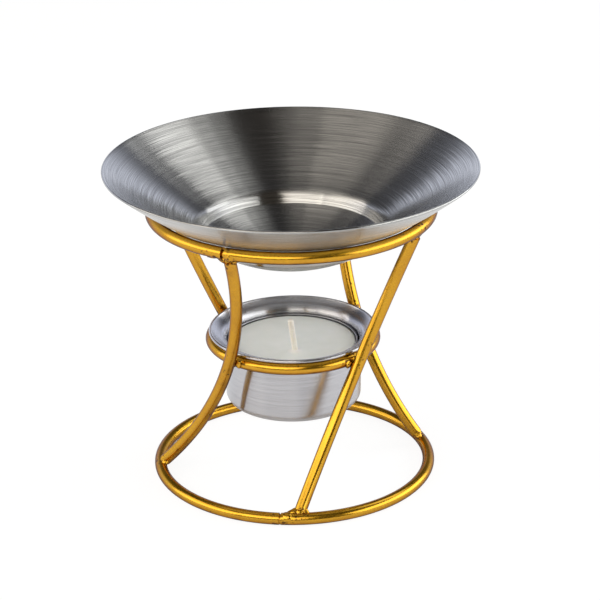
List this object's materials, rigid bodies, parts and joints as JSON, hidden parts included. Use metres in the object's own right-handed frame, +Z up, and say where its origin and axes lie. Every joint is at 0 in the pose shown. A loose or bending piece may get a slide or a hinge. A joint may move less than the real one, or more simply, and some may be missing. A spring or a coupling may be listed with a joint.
{
  "type": "essential oil burner",
  "caption": "Oil burner: a shallow conical steel bowl with a stepped well rests in a twisted gold wire stand over a flanged steel cup that holds a tealight.",
  "frame": {"origin": "on the table in the middle of the base ring", "axes": "+Z up along the common axis of the rings, cup and bowl; the side seen in the picture faces -Y"},
  "size_m": [0.1084, 0.1084, 0.0948],
  "materials": {
    "gold_paint": "satin metallic gold paint",
    "brushed_steel": "brushed in rings",
    "tealight_aluminium": "bright",
    "tinplate": "tin plated",
    "wax": "satin paraffin wax",
    "wick_cord": "waxed cotton"
  },
  "bodies": {
    "stand": {"base_ring": "gold_paint", "cup_ring": "gold_paint", "bowl_ring": "gold_paint", "leg_front_left": "gold_paint", "leg_front_right": "gold_paint", "leg_back_right": "gold_paint", "leg_back_left": "gold_paint", "leg_welds": "gold_paint", "ring_seam_welds": "gold_paint"},
    "cup": {"candle_cup": "brushed_steel"},
    "tealight": {"tealight_cup": "tealight_aluminium", "wick_sustainer": "tinplate", "wick": "wick_cord", "tealight_wax": "wax"},
    "bowl": {"oil_bowl": "brushed_steel"}
  },
  "joints": [
    {"name": "bowl_lift", "type": "slide", "parent": "stand", "child": "bowl", "axis": [0, 0, 1], "range_m": [0, 0.06]},
    {"name": "cup_lift", "type": "slide", "parent": "stand", "child": "cup", "axis": [0, 0, 1], "range_m": [0, 0.009]},
    {"name": "tealight_lift", "type": "slide", "parent": "cup", "child": "tealight", "axis": [0, 0, 1], "range_m": [0, 0.005]}
  ]
}
